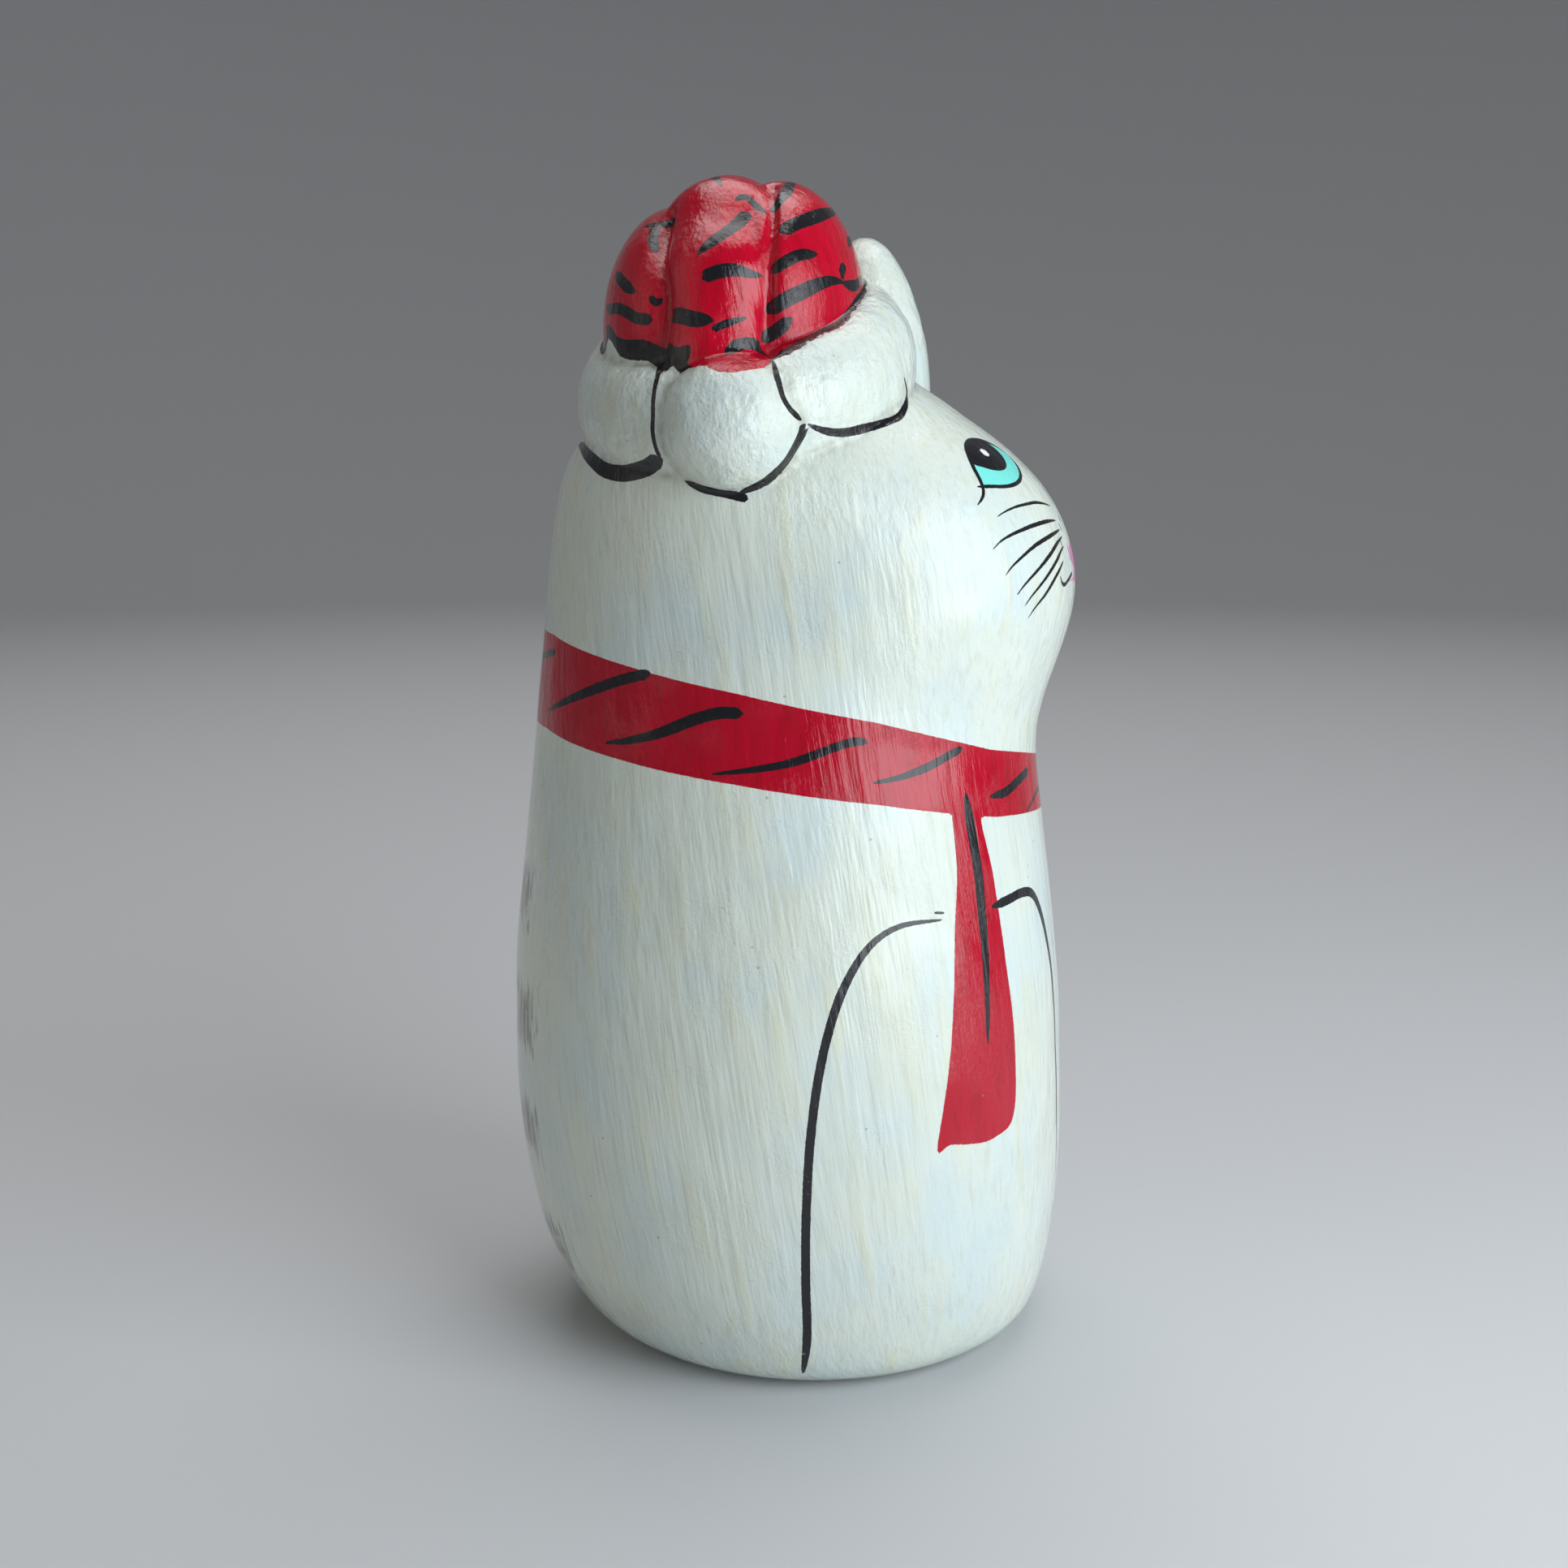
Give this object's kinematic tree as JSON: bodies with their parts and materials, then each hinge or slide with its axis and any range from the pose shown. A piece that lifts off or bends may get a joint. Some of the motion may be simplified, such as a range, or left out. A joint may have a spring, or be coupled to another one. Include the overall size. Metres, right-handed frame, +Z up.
{
  "type": "papier-mache cat",
  "caption": "Upright moulded cat ornament with a merged head and body, a bare ear, and a folded hat with fur trim and a bobble.",
  "frame": {"origin": "middle of the flat underside that the figure stands on", "axes": "+Z up; the cat faces -Y; its right side, with the bobble, is -X"},
  "size_m": [0.0644, 0.0688, 0.1401],
  "materials": {
    "lacquered_paper": "hand-painted papier-mache under clear gloss lacquer"
  },
  "bodies": {
    "root": {"papier_mache_cat": "lacquered_paper"}
  },
  "joints": []
}
